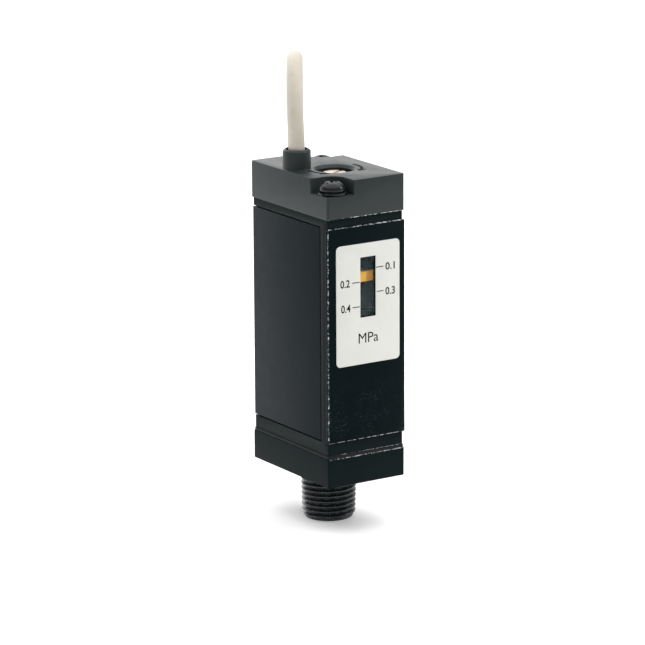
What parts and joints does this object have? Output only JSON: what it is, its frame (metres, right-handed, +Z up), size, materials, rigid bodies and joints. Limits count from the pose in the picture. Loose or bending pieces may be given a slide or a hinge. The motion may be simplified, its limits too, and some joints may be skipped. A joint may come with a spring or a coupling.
{
  "type": "pressure switch",
  "caption": "Slim upright pressure switch with a male pipe thread below, a window scale with a sliding pointer, a sunk slotted adjusting screw and a top lead.",
  "frame": {"origin": "on the pipe thread's axis, at the shoulder under the base", "axes": "+Z up the body and away from the thread; the scale faces -Y, the side panel faces -X"},
  "size_m": [0.058, 0.0787, 0.0802],
  "materials": {
    "body_black": "satin",
    "cover_black": "matte",
    "plate_gloss": "gloss",
    "label_white": "matte",
    "window_tint": "clear",
    "rubber_black": "matte",
    "brass": "machined",
    "spring_steel": "drawn",
    "screw_nickel": "plated",
    "screw_black": "gloss",
    "magnet_grey": "ground",
    "nut_grey": "moulded",
    "pointer_orange": "moulded",
    "board_green": "laminate",
    "reed_glass": "clear",
    "solder_silver": "bright",
    "component_tan": "lacquered",
    "component_black": "moulded",
    "lead_grey": "extruded",
    "wire_brown": "extruded",
    "wire_blue": "extruded"
  },
  "bodies": {
    "case": {"port_block": "body_black", "inlet_orifice": "brass", "base_gasket": "rubber_black", "housing": "body_black", "side_panel": "cover_black", "front_plate": "plate_gloss", "scale_label": "label_white", "window_lens": "window_tint", "set_spring": "spring_steel", "thrust_washer": "brass", "shaft_seal": "rubber_black", "top_cover": "cover_black", "case_screws": "screw_black", "lock_washers": "screw_black", "cable_grommet": "rubber_black", "cord_clamp": "spring_steel", "conductor_brown": "wire_brown", "conductor_blue": "wire_blue", "circuit_board": "board_green", "reed_capsule": "reed_glass", "reed_blades": "solder_silver", "series_resistor": "component_tan", "surge_suppressor": "component_black", "solder_joints": "solder_silver", "lead": "lead_grey", "lead_hank": "lead_grey", "hank_tie": "rubber_black", "lead_ends": "wire_brown"},
    "adjuster": {"adjusting_screw": "screw_nickel", "retaining_ring": "spring_steel"},
    "setter": {"setting_nut": "nut_grey", "pointer": "pointer_orange"},
    "plunger": {"piston": "brass", "piston_seal": "rubber_black", "magnet": "magnet_grey"}
  },
  "joints": [
    {"name": "adjuster_turn", "type": "hinge", "parent": "case", "child": "adjuster", "pos_m": [0.00025, -0.002, 0.05215], "axis": [0, 0, 1], "range_deg": [-3245, 1625]},
    {"name": "setter_slide", "type": "slide", "parent": "case", "child": "setter", "axis": [0, 0, 1], "range_m": [-0.0045, 0.00225], "deforming": ["set_spring"]},
    {"name": "piston_slide", "type": "slide", "parent": "case", "child": "plunger", "axis": [0, 0, 1], "range_m": [0, 0.0008], "stiffness_N_per_m": 1160, "springref_m": -0.0087}
  ],
  "couplings": [
    {"joint": "adjuster_turn", "follows": "setter_slide", "rad_per_m": 12566}
  ]
}
